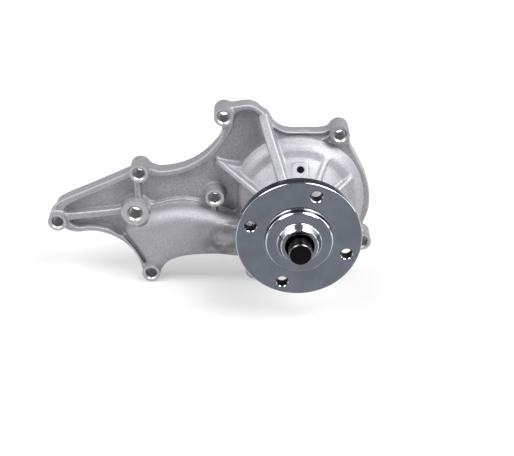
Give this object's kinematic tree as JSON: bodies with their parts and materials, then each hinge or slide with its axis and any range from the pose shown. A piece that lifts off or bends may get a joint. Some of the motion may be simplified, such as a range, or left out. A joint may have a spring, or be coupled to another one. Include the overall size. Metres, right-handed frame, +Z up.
{
  "type": "water pump",
  "caption": "Automotive engine water pump: die-cast housing with bolt bosses and coolant passage, belt pulley flange on a sealed bearing shaft, impeller behind.",
  "frame": {"origin": "middle of the bottom of the whole pump, with the shaft axis level", "axes": "+Y along the shaft from the pulley end towards the engine (normal of the gasket face), +Z up as the pump sits on the engine, +X to the right seen from the pulley end"},
  "size_m": [0.262, 0.1046, 0.1532],
  "materials": {
    "cast_aluminium": "shot-blasted die casting with machined faces",
    "plated_steel": "fine turned and bright plated",
    "shaft_steel": "ground and hardened, dark end face",
    "bearing_steel": "ground",
    "pressed_steel": "plain",
    "cast_iron": "as cast, machined hub face",
    "brass": "drawn",
    "rubber": "moulded",
    "carbon": "lapped carbon graphite",
    "ceramic": "lapped alumina",
    "nylon": "moulded"
  },
  "bodies": {
    "housing_body": {"housing": "cast_aluminium", "bearing_outer_race": "bearing_steel", "bearing_seal_front": "rubber", "bearing_seal_rear": "rubber", "seal_cup": "brass", "seal_bellows": "rubber", "seal_spring": "pressed_steel", "seal_carbon_ring": "carbon"},
    "rotor": {"pulley_flange": "plated_steel", "bearing_shaft": "shaft_steel", "slinger": "pressed_steel", "ceramic_seat": "ceramic", "seat_cup": "rubber", "impeller": "cast_iron"},
    "cage_front": {"bearing_cage_front": "nylon", "ball_front_1": "bearing_steel", "ball_front_2": "bearing_steel", "ball_front_3": "bearing_steel", "ball_front_4": "bearing_steel", "ball_front_5": "bearing_steel", "ball_front_6": "bearing_steel", "ball_front_7": "bearing_steel", "ball_front_8": "bearing_steel"},
    "cage_rear": {"bearing_cage_rear": "nylon", "ball_rear_1": "bearing_steel", "ball_rear_2": "bearing_steel", "ball_rear_3": "bearing_steel", "ball_rear_4": "bearing_steel", "ball_rear_5": "bearing_steel", "ball_rear_6": "bearing_steel", "ball_rear_7": "bearing_steel", "ball_rear_8": "bearing_steel"}
  },
  "joints": [
    {"name": "shaft_spin", "type": "hinge", "parent": "housing_body", "child": "rotor", "pos_m": [0.06715, 0.01235, 0.0756], "axis": [0, 1, 0], "continuous": true},
    {"name": "cage_front_spin", "type": "hinge", "parent": "housing_body", "child": "cage_front", "pos_m": [0.06715, -0.00215, 0.0756], "axis": [0, 1, 0], "continuous": true},
    {"name": "cage_rear_spin", "type": "hinge", "parent": "housing_body", "child": "cage_rear", "pos_m": [0.06715, 0.01585, 0.0756], "axis": [0, 1, 0], "continuous": true}
  ],
  "couplings": [
    {"joint": "cage_front_spin", "follows": "shaft_spin", "ratio": 0.336},
    {"joint": "cage_rear_spin", "follows": "shaft_spin", "ratio": 0.336}
  ]
}
